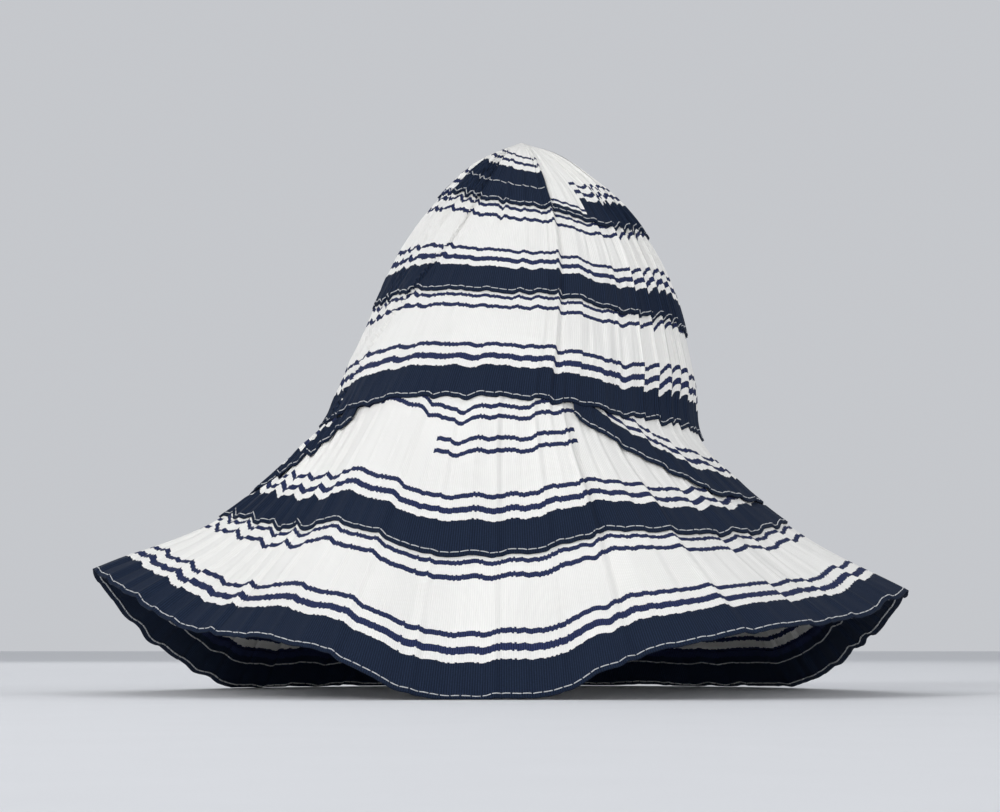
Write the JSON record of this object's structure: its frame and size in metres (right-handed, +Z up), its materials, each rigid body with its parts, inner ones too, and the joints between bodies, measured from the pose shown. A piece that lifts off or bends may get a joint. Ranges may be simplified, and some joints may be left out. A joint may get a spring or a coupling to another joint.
{
  "type": "sun hat",
  "caption": "Wide-brimmed sun hat sewn from lapped rows of navy and white striped ribbon, with a pointed gathered crown and a drooping, waved brim",
  "frame": {"origin": "under the middle of the hat, on the surface that it rests on", "axes": "+Z up through the crown, -Y to the front of the hat, +X to the wearer's left"},
  "size_m": [0.3428, 0.334, 0.25],
  "materials": {
    "striped_ribbon": "ribbed matte ribbon",
    "navy_ribbon": "ribbed matte ribbon"
  },
  "bodies": {
    "root": {"tip_row": "striped_ribbon", "crown_upper_row": "striped_ribbon", "crown_lower_row": "striped_ribbon", "brim_insert_row": "striped_ribbon", "brim_inner_row": "striped_ribbon", "brim_outer_row": "striped_ribbon", "brim_facing": "navy_ribbon"}
  },
  "joints": []
}
